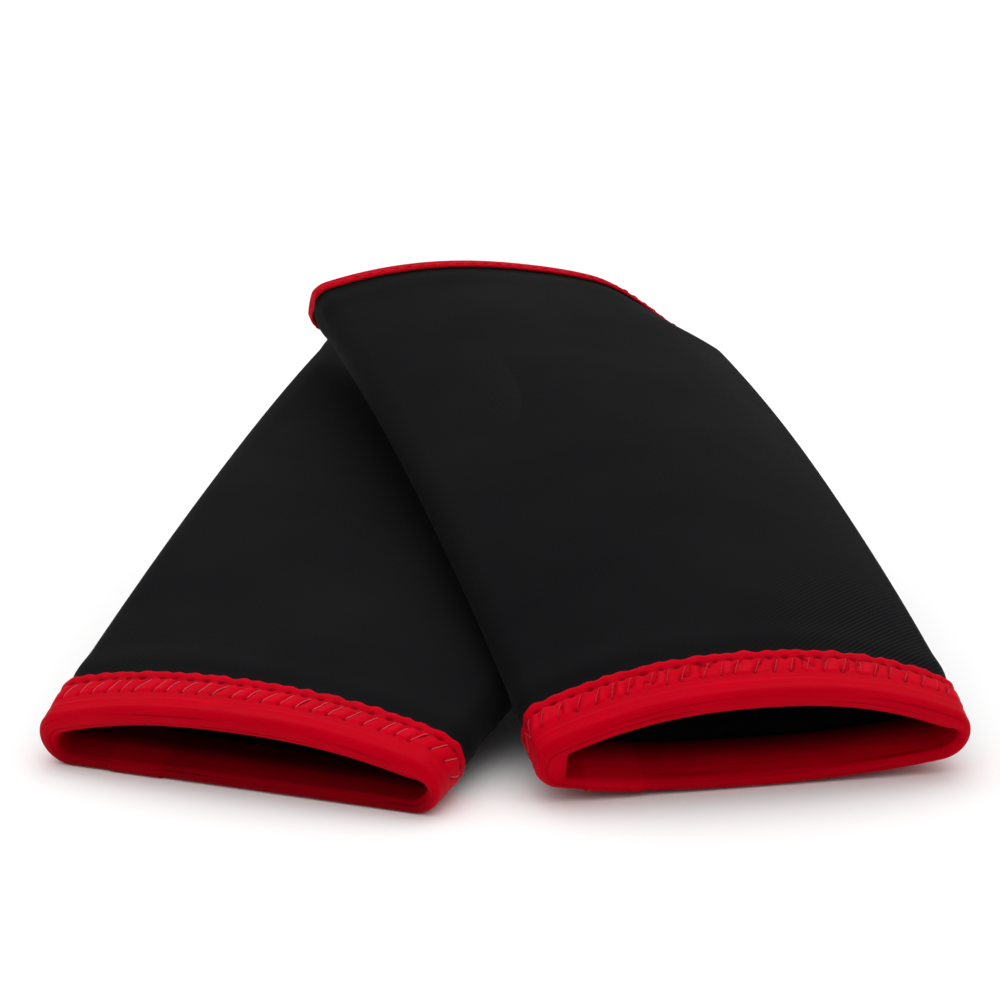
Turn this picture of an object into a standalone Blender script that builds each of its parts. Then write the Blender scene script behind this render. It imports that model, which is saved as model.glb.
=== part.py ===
"""A pair of neoprene elbow pads, one lying across the other.

Each pad is a tapered, pre-bent sleeve: a nylon jersey face, a foam rubber core and a
jersey lining, closed by one seam along its underside.  A folded stretch tape binds each
raw end, held by a zigzag thread, and a foam cushion sits in a pocket over the elbow.
Metres, +Z up.  The pads lie on the plane z = 0 with their forearm ends towards -Y.
"""
import math

import bpy
import numpy as np

# ---- the pads: one tapered tube each, described at its forearm end and its bicep end ----
MM = 0.001
LENGTH = 0.245                # between the raw ends of the laminate, along the middle
FOLD_RADIUS = 0.0075          # outside radius where the flattened tube folds over
WALL_FULLNESS = 2.3           # exponent of the crowned broad walls, 2 is a parabola

# place: forearm end on the table.  turn: heading, degrees left of +Y.  The pairs are
# (forearm end, bicep end).  rise and roll are in degrees, the rest in metres.
PADS = {
    "bottom": dict(place=(-0.0676, -0.1161), height=0.0078, turn=(-19.9, -10.5),
                   rise=(15.8, -1.1), roll=(0.0, -31.0), half_width=(0.0555, 0.0653),
                   crown=(0.0144, 0.0095), belly=(0.0073, 0.0186)),
    "top": dict(place=(0.0641, -0.1165), height=0.0118, turn=(11.2, 19.0),
                rise=(19.6, 13.4), roll=(0.0, -8.7), half_width=(0.0567, 0.0715),
                crown=(0.0185, 0.0200), belly=(0.0114, 0.0150)),
}

# ---- layers, as depths below the face of the sleeve ----
FACE = (0.0, 0.5 * MM)
CORE = (0.8 * MM, 4.6 * MM)
LINING = (5.0 * MM, 5.5 * MM)
GAP = 0.3 * MM
INNER_GAP = 0.45 * MM          # under the lining, where the folds turn tightest

# ---- end binding: folded tape, wrapped over the raw end ----
# Per end: the outer and inner flanges' lengths and the two rows of the zigzag stitch.
BINDINGS = {
    "forearm": dict(flange=14.0 * MM, inner=12.0 * MM, rows=(9.0 * MM, 12.0 * MM)),
    "bicep": dict(flange=3.6 * MM, inner=6.0 * MM, rows=(1.4 * MM, 2.8 * MM)),
}
TAPE_THICKNESS = 0.8 * MM
FLANGE_DEPTH = -GAP - TAPE_THICKNESS / 2
INNER_FLANGE_DEPTH = LINING[1] + INNER_GAP + TAPE_THICKNESS / 2
ROLL_REACH = 1.7 * MM         # how far the roll bulges past the raw end
ROLL_START = 0.3 * MM

# ---- threads ----
THREAD_RADIUS = 0.25 * MM
STITCH_STEP = 2.6 * MM                # along the edge, from one row to the other
SEAM_POSITION = -0.5                  # of the half width, on the belly
SEAM_STEP = 3.4 * MM
SEAM_HALF_WIDTH = 2.4 * MM
TAPE_HALF_WIDTH = 7.0 * MM
SEAM_TAPE_THICKNESS = 0.4 * MM
SEAM_TAPE_GAP = 0.8 * MM       # to the lining, whose facets cut the belly's curve

# ---- elbow cushion and its pocket ----
CUSHION_MIDDLE = 0.52         # of the length
CUSHION_HALF = (0.030, 0.046)  # across, along
CUSHION_THICKNESS = 6.0 * MM
CUSHION_GAP = 0.9 * MM         # to the lining, whose facets cut the crown's curve
CUSHION_EDGE = 0.2            # thickness left at the edge, as a share
POCKET_THICKNESS = 0.4 * MM
POCKET_CLEARANCE = 0.6 * MM
POCKET_SPREAD = 1.2           # the pocket's outline against the cushion's

# ---- mesh fineness ----
WALL_POINTS = 10              # across each broad wall
FOLD_POINTS = 3               # extra points round each fold
BODY_SPANS = 8                # along the sleeve, between the bindings
TAPE_SPANS = 8                # along the seam tape
CENTRELINE_STEPS = 98


def at(pair, share):
    """Value between a pair given at the forearm end and the bicep end."""
    return pair[0] + (pair[1] - pair[0]) * share


def heading(pad, share):
    """Unit vector along the sleeve, in the pad's own frame."""
    turn = math.radians(at(pad["turn"], share) - pad["turn"][0])
    rise = math.radians(at(pad["rise"], share))
    level = math.cos(rise)
    return np.array([-math.sin(turn) * level, math.cos(turn) * level, math.sin(rise)])


def centre(pad, s):
    """Point on the sleeve's centreline at the distance s from the forearm's raw end."""
    inside = min(max(s, 0.0), LENGTH)
    point = np.array([0.0, 0.0, pad["height"]])
    step = inside / CENTRELINE_STEPS
    for i in range(CENTRELINE_STEPS):
        point = point + heading(pad, (i + 0.5) * step / LENGTH) * step
    return point + heading(pad, inside / LENGTH) * (s - inside)


def frame_at(pad, s):
    """Centre, sideways and upward directions of the section at s."""
    share = min(max(s / LENGTH, 0.0), 1.0)
    ahead = heading(pad, share)
    turn = math.radians(at(pad["turn"], share) - pad["turn"][0])
    level = np.array([math.cos(turn), math.sin(turn), 0.0])
    above = np.cross(level, ahead)
    roll = math.radians(at(pad["roll"], share))
    right = level * math.cos(roll) + above * math.sin(roll)
    up = above * math.cos(roll) - level * math.sin(roll)
    return centre(pad, s), right, up


def wall_point(pad, s, across, side, depth):
    """Section point (sideways, up) on a broad wall, and the wall's normal there.

    across runs from -1 to 1 between the folds; side is 1 on the crown, -1 on the belly.
    """
    share = min(max(s / LENGTH, 0.0), 1.0)
    reach = at(pad["half_width"], share) - FOLD_RADIUS
    rise = at(pad["crown"] if side > 0 else pad["belly"], share) - FOLD_RADIUS
    height = rise * (1.0 - abs(across) ** WALL_FULLNESS)
    slope = -WALL_FULLNESS * rise / reach * abs(across) ** (WALL_FULLNESS - 1.0)
    slope = math.copysign(1.0, across) * slope
    normal = np.array([-slope, 1.0]) / math.hypot(slope, 1.0)
    point = np.array([reach * across, height]) + normal * (FOLD_RADIUS - depth)
    return point * (1, side), normal * (1, side)


def section(pad, s, depth):
    """Closed outline of the sleeve at s, from the right fold over the crown."""
    shares = [math.cos(math.pi * i / (WALL_POINTS - 1)) for i in range(WALL_POINTS)]
    crown = [wall_point(pad, s, share, 1, depth) for share in shares]
    belly = [wall_point(pad, s, share, -1, depth) for share in reversed(shares)]
    reach = at(pad["half_width"], min(max(s / LENGTH, 0.0), 1.0)) - FOLD_RADIUS
    outline = [point for point, _ in crown]
    outline += fold(-reach, crown[-1][1], belly[0][1], depth)
    outline += [point for point, _ in belly]
    outline += fold(reach, belly[-1][1], crown[0][1], depth)
    return outline


def fold(middle, first, last, depth):
    """Points on the arc between two walls, round the fold's own centre."""
    start = math.atan2(first[1], first[0])
    sweep = (math.atan2(last[1], last[0]) - start) % (2 * math.pi)
    radius = FOLD_RADIUS - depth
    points = []
    for i in range(1, FOLD_POINTS + 1):
        angle = start + sweep * i / (FOLD_POINTS + 1)
        points.append(np.array([middle + radius * math.cos(angle), radius * math.sin(angle)]))
    return points


def lift(pad, s, flat_points):
    """Section points placed in space."""
    middle, right, up = frame_at(pad, s)
    return [middle + right * x + up * z for x, z in flat_points]


# ---- objects ----
def material(name, colour, roughness):
    """A plain, non-metallic surface."""
    made = bpy.data.materials.new(name)
    made.use_nodes = True
    shader = made.node_tree.nodes["Principled BSDF"]
    shader.inputs["Base Color"].default_value = (*colour, 1.0)
    shader.inputs["Roughness"].default_value = roughness
    shader.inputs["Metallic"].default_value = 0.0
    return made


def add_object(data, name, surface, empty, collection):
    """Put a mesh or a curve in the pad's frame."""
    made = bpy.data.objects.new(name, data)
    data.materials.append(surface)
    collection.objects.link(made)
    made.parent = empty
    return made


def grid_mesh(name, rows, closed):
    """Open surface through rows of points; a closed grid joins each row's ends."""
    mesh = bpy.data.meshes.new(name)
    count = len(rows[0])
    vertices = [tuple(point) for row in rows for point in row]
    faces = []
    for i in range(len(rows) - 1):
        for j in range(count if closed else count - 1):
            following = (j + 1) % count
            faces.append((i * count + j, (i + 1) * count + j,
                          (i + 1) * count + following, i * count + following))
    mesh.from_pydata(vertices, [], faces)
    mesh.shade_smooth()
    return mesh


def thicken(made, thickness, offset):
    """Solidify: offset -1 grows inward from the surface, 0 to both sides."""
    solid = made.modifiers.new("Thickness", "SOLIDIFY")
    solid.thickness = thickness
    solid.offset = offset
    return solid


def rest_flat(made, table):
    """Press the object flat where it lies on the table."""
    cut = made.modifiers.new("Table", "BOOLEAN")
    cut.operation = "DIFFERENCE"
    cut.solver = "EXACT"
    cut.object = table


def between_flanges(kind, clearance):
    """Distances at which the open stretch between the two bindings starts and ends."""
    start = BINDINGS["forearm"][kind] + clearance
    return start, LENGTH - BINDINGS["bicep"][kind] - clearance


def layer_stations():
    """Distances of a layer's rows: both raw ends, the flanges' edges and evenly between."""
    start, end = between_flanges("flange", 0.0)
    between = [start + (end - start) * i / BODY_SPANS for i in range(BODY_SPANS + 1)]
    return [0.0, *between, LENGTH]


def layer(name, pad, depths, surface, empty, collection):
    """One layer of the laminate, thickened to both sides of its middle surface."""
    middle = (depths[0] + depths[1]) / 2
    rows = [lift(pad, s, section(pad, s, middle)) for s in layer_stations()]
    made = add_object(grid_mesh(name, rows, True), name, surface, empty, collection)
    thicken(made, depths[1] - depths[0], 0.0)
    return made


def tape_profile(end):
    """The binding's path from its outer flange, over the raw end, to its inner flange."""
    flange = BINDINGS[end]["flange"]
    profile = [(flange, FLANGE_DEPTH), (flange / 2, FLANGE_DEPTH)]
    middle = (FLANGE_DEPTH + INNER_FLANGE_DEPTH) / 2
    half = (INNER_FLANGE_DEPTH - FLANGE_DEPTH) / 2
    for i in range(5):
        angle = math.pi * i / 4
        profile.append((-ROLL_START - ROLL_REACH * math.sin(angle), middle - half * math.cos(angle)))
    profile.append((BINDINGS[end]["inner"], INNER_FLANGE_DEPTH))
    return profile


def from_end(end, distance):
    """Distance along the sleeve of a place given from one of its raw ends."""
    return LENGTH - distance if end == "bicep" else distance


def binding(name, pad, end, surface, empty, collection):
    """Folded tape round one end of the sleeve."""
    rows = []
    for s, depth in tape_profile(end):
        along = from_end(end, s)
        rows.append(lift(pad, along, section(pad, along, depth)))
    made = add_object(grid_mesh(name, rows, True), name, surface, empty, collection)
    thicken(made, TAPE_THICKNESS, 0.0)
    return made


def thread_object(name, points, cyclic, surface, empty, collection):
    """Round thread through the points."""
    curve = bpy.data.curves.new(name, "CURVE")
    curve.dimensions = "3D"
    curve.bevel_depth = THREAD_RADIUS
    curve.bevel_resolution = 0
    curve.use_fill_caps = not cyclic
    spline = curve.splines.new("POLY")
    spline.points.add(len(points) - 1)
    for knot, point in zip(spline.points, points):
        knot.co = (*point, 1.0)
    spline.use_cyclic_u = cyclic
    return add_object(curve, name, surface, empty, collection)


def fine_section(pad, s, depth, count):
    """Points spaced evenly round the section, from the right fold over the crown."""
    outline = np.array(section(pad, s, depth) + section(pad, s, depth)[:1])
    run = np.concatenate([[0.0], np.cumsum(np.linalg.norm(np.diff(outline, axis=0), axis=1))])
    wanted = np.linspace(0.0, run[-1], count, endpoint=False)
    return np.stack([np.interp(wanted, run, outline[:, axis]) for axis in (0, 1)], axis=1)


def binding_thread(name, pad, end, surface, empty, collection):
    """Zigzag thread that holds the outer flange, one closed loop."""
    depth = FLANGE_DEPTH - TAPE_THICKNESS / 2 - GAP - THREAD_RADIUS * 1.9
    girth = 4 * at(pad["half_width"], 1.0 if end == "bicep" else 0.0)
    count = 2 * round(girth / STITCH_STEP / 2)
    rows = []
    for row in BINDINGS[end]["rows"]:
        along = from_end(end, row)
        rows.append(lift(pad, along, fine_section(pad, along, depth, count)))
    points = [rows[i % 2][i] for i in range(count)]
    return thread_object(name, points, True, surface, empty, collection)


def seam_thread(name, pad, surface, empty, collection):
    """Zigzag thread over the closing seam, along the belly between the bindings."""
    depth = -GAP - THREAD_RADIUS * 1.5
    start, end = between_flanges("flange", 2 * GAP)
    count = round((end - start) / SEAM_STEP)
    points = []
    for i in range(count + 1):
        s = start + (end - start) * i / count
        reach = at(pad["half_width"], s / LENGTH) - FOLD_RADIUS
        across = SEAM_POSITION + SEAM_HALF_WIDTH / reach * (1 if i % 2 else -1)
        points += lift(pad, s, [wall_point(pad, s, across, -1, depth)[0]])
    return thread_object(name, points, False, surface, empty, collection)


def seam_tape(name, pad, surface, empty, collection):
    """Flat tape over the closing seam inside the sleeve."""
    depth = LINING[1] + SEAM_TAPE_GAP + SEAM_TAPE_THICKNESS
    start, end = between_flanges("inner", 3 * GAP)
    rows = []
    for i in range(TAPE_SPANS + 1):
        s = start + (end - start) * i / TAPE_SPANS
        reach = at(pad["half_width"], s / LENGTH) - FOLD_RADIUS
        row = []
        for step in (-1, 0, 1):
            across = SEAM_POSITION + step * TAPE_HALF_WIDTH / reach
            row.append(wall_point(pad, s, across, -1, depth)[0])
        rows.append(lift(pad, s, row))
    made = add_object(grid_mesh(name, rows, False), name, surface, empty, collection)
    thicken(made, SEAM_TAPE_THICKNESS, 1.0)
    return made


def disc_patch(name, pad, spread, depth_at):
    """Oval patch under the crown: rings of points round the middle of the elbow."""
    spokes = 16
    rings = (0.4, 0.72, 0.9, 1.0)
    vertices = []
    for ring in (0.0, *rings):
        for i in range(spokes if ring else 1):
            angle = 2 * math.pi * i / spokes
            s = LENGTH * CUSHION_MIDDLE + CUSHION_HALF[1] * spread * ring * math.sin(angle)
            reach = at(pad["half_width"], s / LENGTH) - FOLD_RADIUS
            across = CUSHION_HALF[0] * spread * ring * math.cos(angle) / reach
            point, _ = wall_point(pad, s, across, 1, depth_at(ring * spread))
            vertices.append(tuple(lift(pad, s, [point])[0]))
    faces = [(0, 1 + i, 1 + (i + 1) % spokes) for i in range(spokes)]
    for ring in range(len(rings) - 1):
        inner = 1 + ring * spokes
        for i in range(spokes):
            following = (i + 1) % spokes
            faces.append((inner + i, inner + spokes + i,
                          inner + spokes + following, inner + following))
    mesh = bpy.data.meshes.new(name)
    mesh.from_pydata(vertices, [], faces)
    mesh.shade_smooth()
    return mesh, (0.0, *rings), spokes


def cushion_share(radius):
    """Cushion thickness at a share of its radius, 1 in the middle."""
    return max(0.0, 1.0 - (1.0 - CUSHION_EDGE) * min(radius, 1.0) ** 3)


def cushion(name, pad, surface, empty, collection):
    """Domed foam cushion against the lining, over the elbow."""
    depth = LINING[1] + CUSHION_GAP
    mesh, rings, spokes = disc_patch(name, pad, 1.0, lambda radius: depth)
    made = add_object(mesh, name, surface, empty, collection)
    group = made.vertex_groups.new(name="thickness")
    index = 0
    for ring in rings:
        for _ in range(spokes if ring else 1):
            group.add([index], cushion_share(ring), "REPLACE")
            index += 1
    solid = thicken(made, CUSHION_THICKNESS, -1.0)
    solid.vertex_group = group.name
    return made


def pocket(name, pad, surface, empty, collection):
    """Lining patch that holds the cushion, sewn down round it."""
    lining = LINING[1] + CUSHION_GAP

    def depth_at(radius):
        if radius > 1.03:
            return lining
        return lining + CUSHION_THICKNESS * cushion_share(radius) + POCKET_CLEARANCE

    mesh, _, _ = disc_patch(name, pad, POCKET_SPREAD, depth_at)
    made = add_object(mesh, name, surface, empty, collection)
    thicken(made, POCKET_THICKNESS, -1.0)
    return made


def build_pad(side, pad, surfaces, collection, table):
    """All pieces of one pad, under an empty at its forearm end."""
    empty = bpy.data.objects.new(side + "_pad_origin", None)
    empty.location = (*pad["place"], 0.0)
    empty.rotation_euler = (0.0, 0.0, math.radians(pad["turn"][0]))
    collection.objects.link(empty)
    where = (empty, collection)

    layer(side + "_face_fabric", pad, FACE, surfaces["face"], *where)
    layer(side + "_foam_core", pad, CORE, surfaces["foam"], *where)
    layer(side + "_lining_fabric", pad, LINING, surfaces["lining"], *where)
    cushion(side + "_elbow_cushion", pad, surfaces["cushion"], *where)
    pocket(side + "_cushion_pocket", pad, surfaces["lining"], *where)
    seam_thread(side + "_seam_thread", pad, surfaces["black_thread"], *where)
    seam_tape(side + "_seam_tape", pad, surfaces["lining"], *where)
    for end in BINDINGS:
        tape = binding(f"{side}_{end}_binding", pad, end, surfaces["tape"], *where)
        if side == "bottom" or end == "forearm":
            rest_flat(tape, table)
        binding_thread(f"{side}_{end}_thread", pad, end, surfaces["red_thread"], *where)


def main():
    for old in list(bpy.data.objects):
        bpy.data.objects.remove(old, do_unlink=True)

    parts = bpy.data.collections.new("elbow_pads")
    cutters = bpy.data.collections.new("cutters")
    bpy.context.scene.collection.children.link(parts)
    bpy.context.scene.collection.children.link(cutters)

    bpy.ops.mesh.primitive_cube_add(size=1.0, location=(0.0, 0.0, -0.05))
    table = bpy.context.object
    table.name = "table_cutter"
    table.scale = (0.5, 0.5, 0.1)
    table.hide_render = True
    table.display_type = "WIRE"
    for owner in list(table.users_collection):
        owner.objects.unlink(table)
    cutters.objects.link(table)

    surfaces = {
        "face": material("nylon_jersey_black", (0.012, 0.012, 0.014), 0.75),
        "foam": material("foam_rubber_black", (0.02, 0.02, 0.02), 0.9),
        "lining": material("lining_jersey_black", (0.015, 0.015, 0.017), 0.8),
        "cushion": material("cushion_foam_grey", (0.12, 0.12, 0.13), 0.95),
        "tape": material("stretch_tape_red", (0.62, 0.005, 0.012), 0.55),
        "red_thread": material("thread_red", (0.72, 0.03, 0.05), 0.5),
        "black_thread": material("thread_black", (0.02, 0.02, 0.022), 0.6),
    }
    for side, pad in PADS.items():
        build_pad(side, pad, surfaces, parts, table)


main()
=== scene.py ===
import math

import bmesh
import bpy
import numpy as np
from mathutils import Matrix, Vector


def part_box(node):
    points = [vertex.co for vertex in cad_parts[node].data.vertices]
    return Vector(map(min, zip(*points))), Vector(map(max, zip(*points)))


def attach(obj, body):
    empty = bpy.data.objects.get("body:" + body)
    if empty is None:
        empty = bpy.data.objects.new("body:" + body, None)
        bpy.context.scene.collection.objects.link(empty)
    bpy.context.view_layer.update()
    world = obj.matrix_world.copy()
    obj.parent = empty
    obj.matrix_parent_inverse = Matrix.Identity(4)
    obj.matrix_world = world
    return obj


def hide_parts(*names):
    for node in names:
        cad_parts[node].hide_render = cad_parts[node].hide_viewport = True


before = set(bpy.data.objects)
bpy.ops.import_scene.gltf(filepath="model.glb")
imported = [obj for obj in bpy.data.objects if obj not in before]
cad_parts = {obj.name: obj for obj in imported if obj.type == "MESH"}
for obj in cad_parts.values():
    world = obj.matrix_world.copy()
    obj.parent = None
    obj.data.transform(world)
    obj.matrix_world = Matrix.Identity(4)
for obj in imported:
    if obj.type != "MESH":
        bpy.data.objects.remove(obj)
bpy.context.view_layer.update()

MM = 0.001

# ---- the sleeves, as the frame has them; pairs are (forearm end, bicep end) ----
# turn is the heading, left of +Y; turn, rise and roll are in degrees.
LENGTH = 0.245
FOLD_RADIUS = 0.0075
WALL_FULLNESS = 2.3
PADS = {
    "bottom": dict(height=0.0078, turn=(-19.9, -10.5), rise=(15.8, -1.1), roll=(0.0, -31.0),
                   half_width=(0.0555, 0.0653), crown=(0.0144, 0.0095), belly=(0.0073, 0.0186)),
    "top": dict(height=0.0118, turn=(11.2, 19.0), rise=(19.6, 13.4), roll=(0.0, -8.7),
                half_width=(0.0567, 0.0715), crown=(0.0185, 0.0200), belly=(0.0114, 0.0150)),
}

# ---- layers, as depths below the face ----
FACE = (0.0, 0.5 * MM)
CORE = (0.8 * MM, 4.6 * MM)
LINING = (5.0 * MM, 5.5 * MM)
TAPE_THICKNESS = 0.8 * MM
OUTER_FLANGE = (-1.1 * MM, -0.3 * MM)
INNER_FLANGE = (6.75 * MM, 5.95 * MM)
ROLL_START = 0.3 * MM
ROLL_REACH = (2.1 * MM, 1.3 * MM)      # outside and inside of the folded tape

# ---- near the mouth the laminate is squeezed: the belly most, and the right folds ----
MOUTH_REACH = 26.0 * MM
CROWN_SQUEEZE = 0.22
BELLY_SQUEEZE = 0.55
FOLD_SQUEEZE = 0.34
FOLD_SPREAD = 6.0 * MM
CREASE = 7.5 * MM                     # the top pad's left fold: from outside to inner crease
DROOP = {"bottom": 0.0, "top": 6.5 * MM}       # of the far right corner
DROOP_REACH = 30.0 * MM

# ---- bindings: flanges, stitch rows and how far the stitch puckers the tape ----
BINDINGS = {
    "forearm": dict(flange=14.0 * MM, inner=12.0 * MM, low=5.8 * MM, high=10.9 * MM, pucker=1.0),
    "bicep": dict(flange=3.6 * MM, inner=6.0 * MM, low=1.2 * MM, high=2.8 * MM, pucker=0.3),
}
STITCH_PITCH = 4.1 * MM
THREAD_RADIUS = 0.17 * MM
PILLOW_HEIGHT = 1.15 * MM
GROOVE_DEPTH = 0.16 * MM
DIMPLE_DEPTH = 0.60 * MM
LIP_HEIGHT = 0.28 * MM
SCALLOP = 0.40 * MM
RIDGE_PLACE = 2.4 * MM                 # from the raw end, along the outer flange
RIDGE_HEIGHT = 0.20 * MM
WRINKLES = 8
WRINKLE_DEPTH = 0.24 * MM
WRINKLE_WIDTH = 0.28 * MM
BLOCKY = {"bottom": 0.3, "top": 1.0}   # how unevenly the stitch divides the tape
# Painted shade: how dark the tape's colour is made where no light reaches, between which
# distances it grows inside the mouth, and how strong it is on the belly's roll.
PAINTED_INSIDE_SHADE = {"bottom": (-1.5 * MM, 9.0 * MM), "top": (2.0 * MM, 12.0 * MM)}
PAINTED_UNDER_SHADE = {"bottom": 0.55, "top": 0.08}
OVERLAP_PLACE = {"bottom": 0.63, "top": 0.60}
OVERLAP_LENGTH = 14.0 * MM
OVERLAP_HEIGHT = 0.4 * MM

# ---- the jersey: waves, swell past the bindings, and ribs that show where it is tight ----
WAVE_HEIGHT = 0.35 * MM
RIPPLE_HEIGHT = 0.20 * MM
SWELL_HEIGHT = 0.45 * MM
RIB_PITCH = 1.3 * MM
RIB_LEAN = math.radians(57.0)
RIB_BASE = 0.05
RIB_PLACE = {"bottom": 0.42, "top": 0.08}      # share round the sleeve
RIB_STRENGTH = {"bottom": 0.20, "top": 0.95}
RIB_MIDDLE = 26.0 * MM
RIB_REACH = 18.0 * MM

# ---- closing seam, on the belly ----
SEAM_POSITION = -0.5
SEAM_STEP = 3.4 * MM
SEAM_HALF_WIDTH = 2.4 * MM
SEAM_GUTTER = 0.45 * MM
SEAM_GUTTER_WIDTH = 0.7 * MM
SEAM_TAPE_HALF_WIDTH = 7.0 * MM

# ---- elbow cushion ----
CUSHION_MIDDLE = 0.52
CUSHION_HALF = (0.030, 0.046)
CUSHION_THICKNESS = 6.0 * MM
CUSHION_GAP = 0.9 * MM
CUSHION_TRIM = 0.97                    # the visual cushion's outline against the CAD's
CUSHION_SLACK = 0.4 * MM               # room for it to swell
POCKET_SPREAD = 1.2
POCKET_THICKNESS = 0.4 * MM
POCKET_CLEARANCE = 0.6 * MM
PUFF_FRAMES = 20
PUFF_PRESSURE = 4.0
PUFF_LIMIT = 0.6 * MM
PUFF_VOXEL = 3.0 * MM

# ---- fineness ----
CENTRELINE_STEPS = 400
WALL_SAMPLES = 160
ARC_SAMPLES = 24
ROUND_FACE = 400
ROUND_HIDDEN = 240
ROUND_TAPE = 640
TABLE_CLEARANCE = 0.05 * MM


def at(pair, share):
    """Value between a pair given at the forearm end and the bicep end."""
    return pair[0] + (pair[1] - pair[0]) * share


def bell(x, middle, width):
    """Smooth bump of height 1."""
    return np.exp(-(((x - middle) / width) ** 2))


def ramp(x, start, end):
    """Smooth step from 0 at start to 1 at end."""
    t = np.clip((x - start) / (end - start), 0.0, 1.0)
    return t * t * (3.0 - 2.0 * t)


def wander(u, seed, lowest, waves):
    """Smooth random curve round a loop (u from 0 to 1), mostly between -1 and 1."""
    rng = np.random.default_rng(seed)
    total = np.zeros_like(u)
    for k in range(lowest, lowest + waves):
        total = total + rng.normal() * np.sin(2 * math.pi * (k * u + rng.random()))
    return total / math.sqrt(waves)


def under(u):
    """1 along the belly, 0 along the crown, at the share u round a sleeve."""
    return ramp(-np.sin(2 * math.pi * u), -0.15, 0.35)


class Sleeve:
    """One pad's sleeve: where a distance along it, a place round it and a depth lie."""

    def __init__(self, side, shape):
        self.side = side
        self.shape = shape
        steps = np.linspace(0.0, 1.0, CENTRELINE_STEPS + 1)
        travel = self.heading((steps[1:] + steps[:-1]) / 2) * LENGTH / CENTRELINE_STEPS
        self.stations = steps * LENGTH
        self.line = np.vstack([np.zeros(3), np.cumsum(travel, axis=0)])
        self.line[:, 2] += shape["height"]
        self.girth = self.girth_at("forearm")
        self.anchor()

    def girth_at(self, end):
        """About how far it is round the sleeve at one end."""
        return 4.0 * self.shape["half_width"][1 if end == "bicep" else 0]

    def anchor(self):
        """Stand the sleeve where the frame has its face fabric."""
        rows = np.linspace(0.0, LENGTH, 9)
        points = self.rings(rows, 90, np.zeros((9, 90))).reshape(-1, 3)
        low, high = (np.array(corner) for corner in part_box(self.side + "_face_fabric"))
        middle = (points.min(axis=0) + points.max(axis=0)) / 2
        shift = (low + high) / 2 - middle
        shift[2] = 0.0
        self.line += shift

    def heading(self, share):
        """Unit vectors along the sleeve."""
        turn = np.radians(at(self.shape["turn"], share))
        rise = np.radians(at(self.shape["rise"], share))
        level = np.cos(rise)
        return np.stack([-np.sin(turn) * level, np.cos(turn) * level, np.sin(rise)], axis=-1)

    def frames(self, s):
        """Centre, right, up and ahead for each distance in s."""
        share = np.clip(s / LENGTH, 0.0, 1.0)
        ahead = self.heading(share)
        turn = np.radians(at(self.shape["turn"], share))
        level = np.stack([np.cos(turn), np.sin(turn), np.zeros_like(turn)], axis=-1)
        above = np.cross(level, ahead)
        roll = np.radians(at(self.shape["roll"], share))[..., None]
        right = level * np.cos(roll) + above * np.sin(roll)
        up = above * np.cos(roll) - level * np.sin(roll)
        inside = np.clip(s, 0.0, LENGTH)
        centre = np.stack([np.interp(inside, self.stations, self.line[:, i])
                           for i in range(3)], axis=-1)
        return centre + ahead * (s - inside)[..., None], right, up, ahead

    def reach_and_rise(self, s, side):
        """Half width to the fold's centre, and height of the crown or the belly over it."""
        share = np.clip(s / LENGTH, 0.0, 1.0)
        reach = at(self.shape["half_width"], share) - FOLD_RADIUS
        rise = at(self.shape["crown" if side > 0 else "belly"], share) - FOLD_RADIUS
        return reach, rise

    def half_ring(self, s, side, count):
        """Fold-centre points and normal angles from the right fold's middle, over one wall."""
        reach, rise = self.reach_and_rise(s, side)
        across = np.cos(np.linspace(0.0, math.pi, WALL_SAMPLES))
        height = rise * (1.0 - np.abs(across) ** WALL_FULLNESS)
        slope = -np.sign(across) * WALL_FULLNESS * rise / reach
        slope = slope * np.abs(across) ** (WALL_FULLNESS - 1.0)
        lean = np.arctan2(1.0, -slope)
        first = np.linspace(0.0, lean[0], ARC_SAMPLES, endpoint=False)
        last = math.pi - first[::-1]
        ends = np.ones(ARC_SAMPLES)
        angle = np.concatenate([first, lean, last])
        x = np.concatenate([ends * reach, reach * across, -ends * reach])
        z = np.concatenate([ends * 0.0, height, ends * 0.0])
        outline = np.stack([x + FOLD_RADIUS * np.cos(angle), z + FOLD_RADIUS * np.sin(angle)])
        run = np.concatenate([[0.0], np.cumsum(np.linalg.norm(np.diff(outline), axis=0))])
        wanted = np.linspace(0.0, run[-1], count, endpoint=False)
        if side < 0:
            wanted = run[-1] - wanted
        x, z, angle = (np.interp(wanted, run, value) for value in (x, z, angle))
        return x, z * side, angle * side

    def give(self, s, u):
        """Share of its full depth that the wall keeps at s, at the share u round it."""
        near = 1.0 - ramp(s, 0.0, MOUTH_REACH)
        below = under(u)
        away = np.minimum(u, 1.0 - u) * self.girth
        squeeze = CROWN_SQUEEZE + (BELLY_SQUEEZE - CROWN_SQUEEZE) * below
        return 1.0 - near * (squeeze + FOLD_SQUEEZE * bell(away, 0.0, FOLD_SPREAD) * (1.0 - below))

    def crease(self, s, x, depth):
        """Fill the top pad's left fold, so that its inner corner is a sharp crease."""
        if self.side == "bottom":
            return x
        reach, _ = self.reach_and_rise(s, 1)
        deep = ramp(depth, 3.0 * MM, 6.0 * MM) * (1.0 - ramp(s, 0.0, MOUTH_REACH))
        return np.maximum(x, CREASE * deep - reach - FOLD_RADIUS)

    def droop(self, s, u):
        """How far the far right corner hangs."""
        corner = 1.0 - ramp(np.minimum(u, 1.0 - u), 0.03, 0.17)
        far = ramp(s, LENGTH - DROOP_REACH, LENGTH + 2.0 * MM)
        return DROOP[self.side] * corner * far

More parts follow.
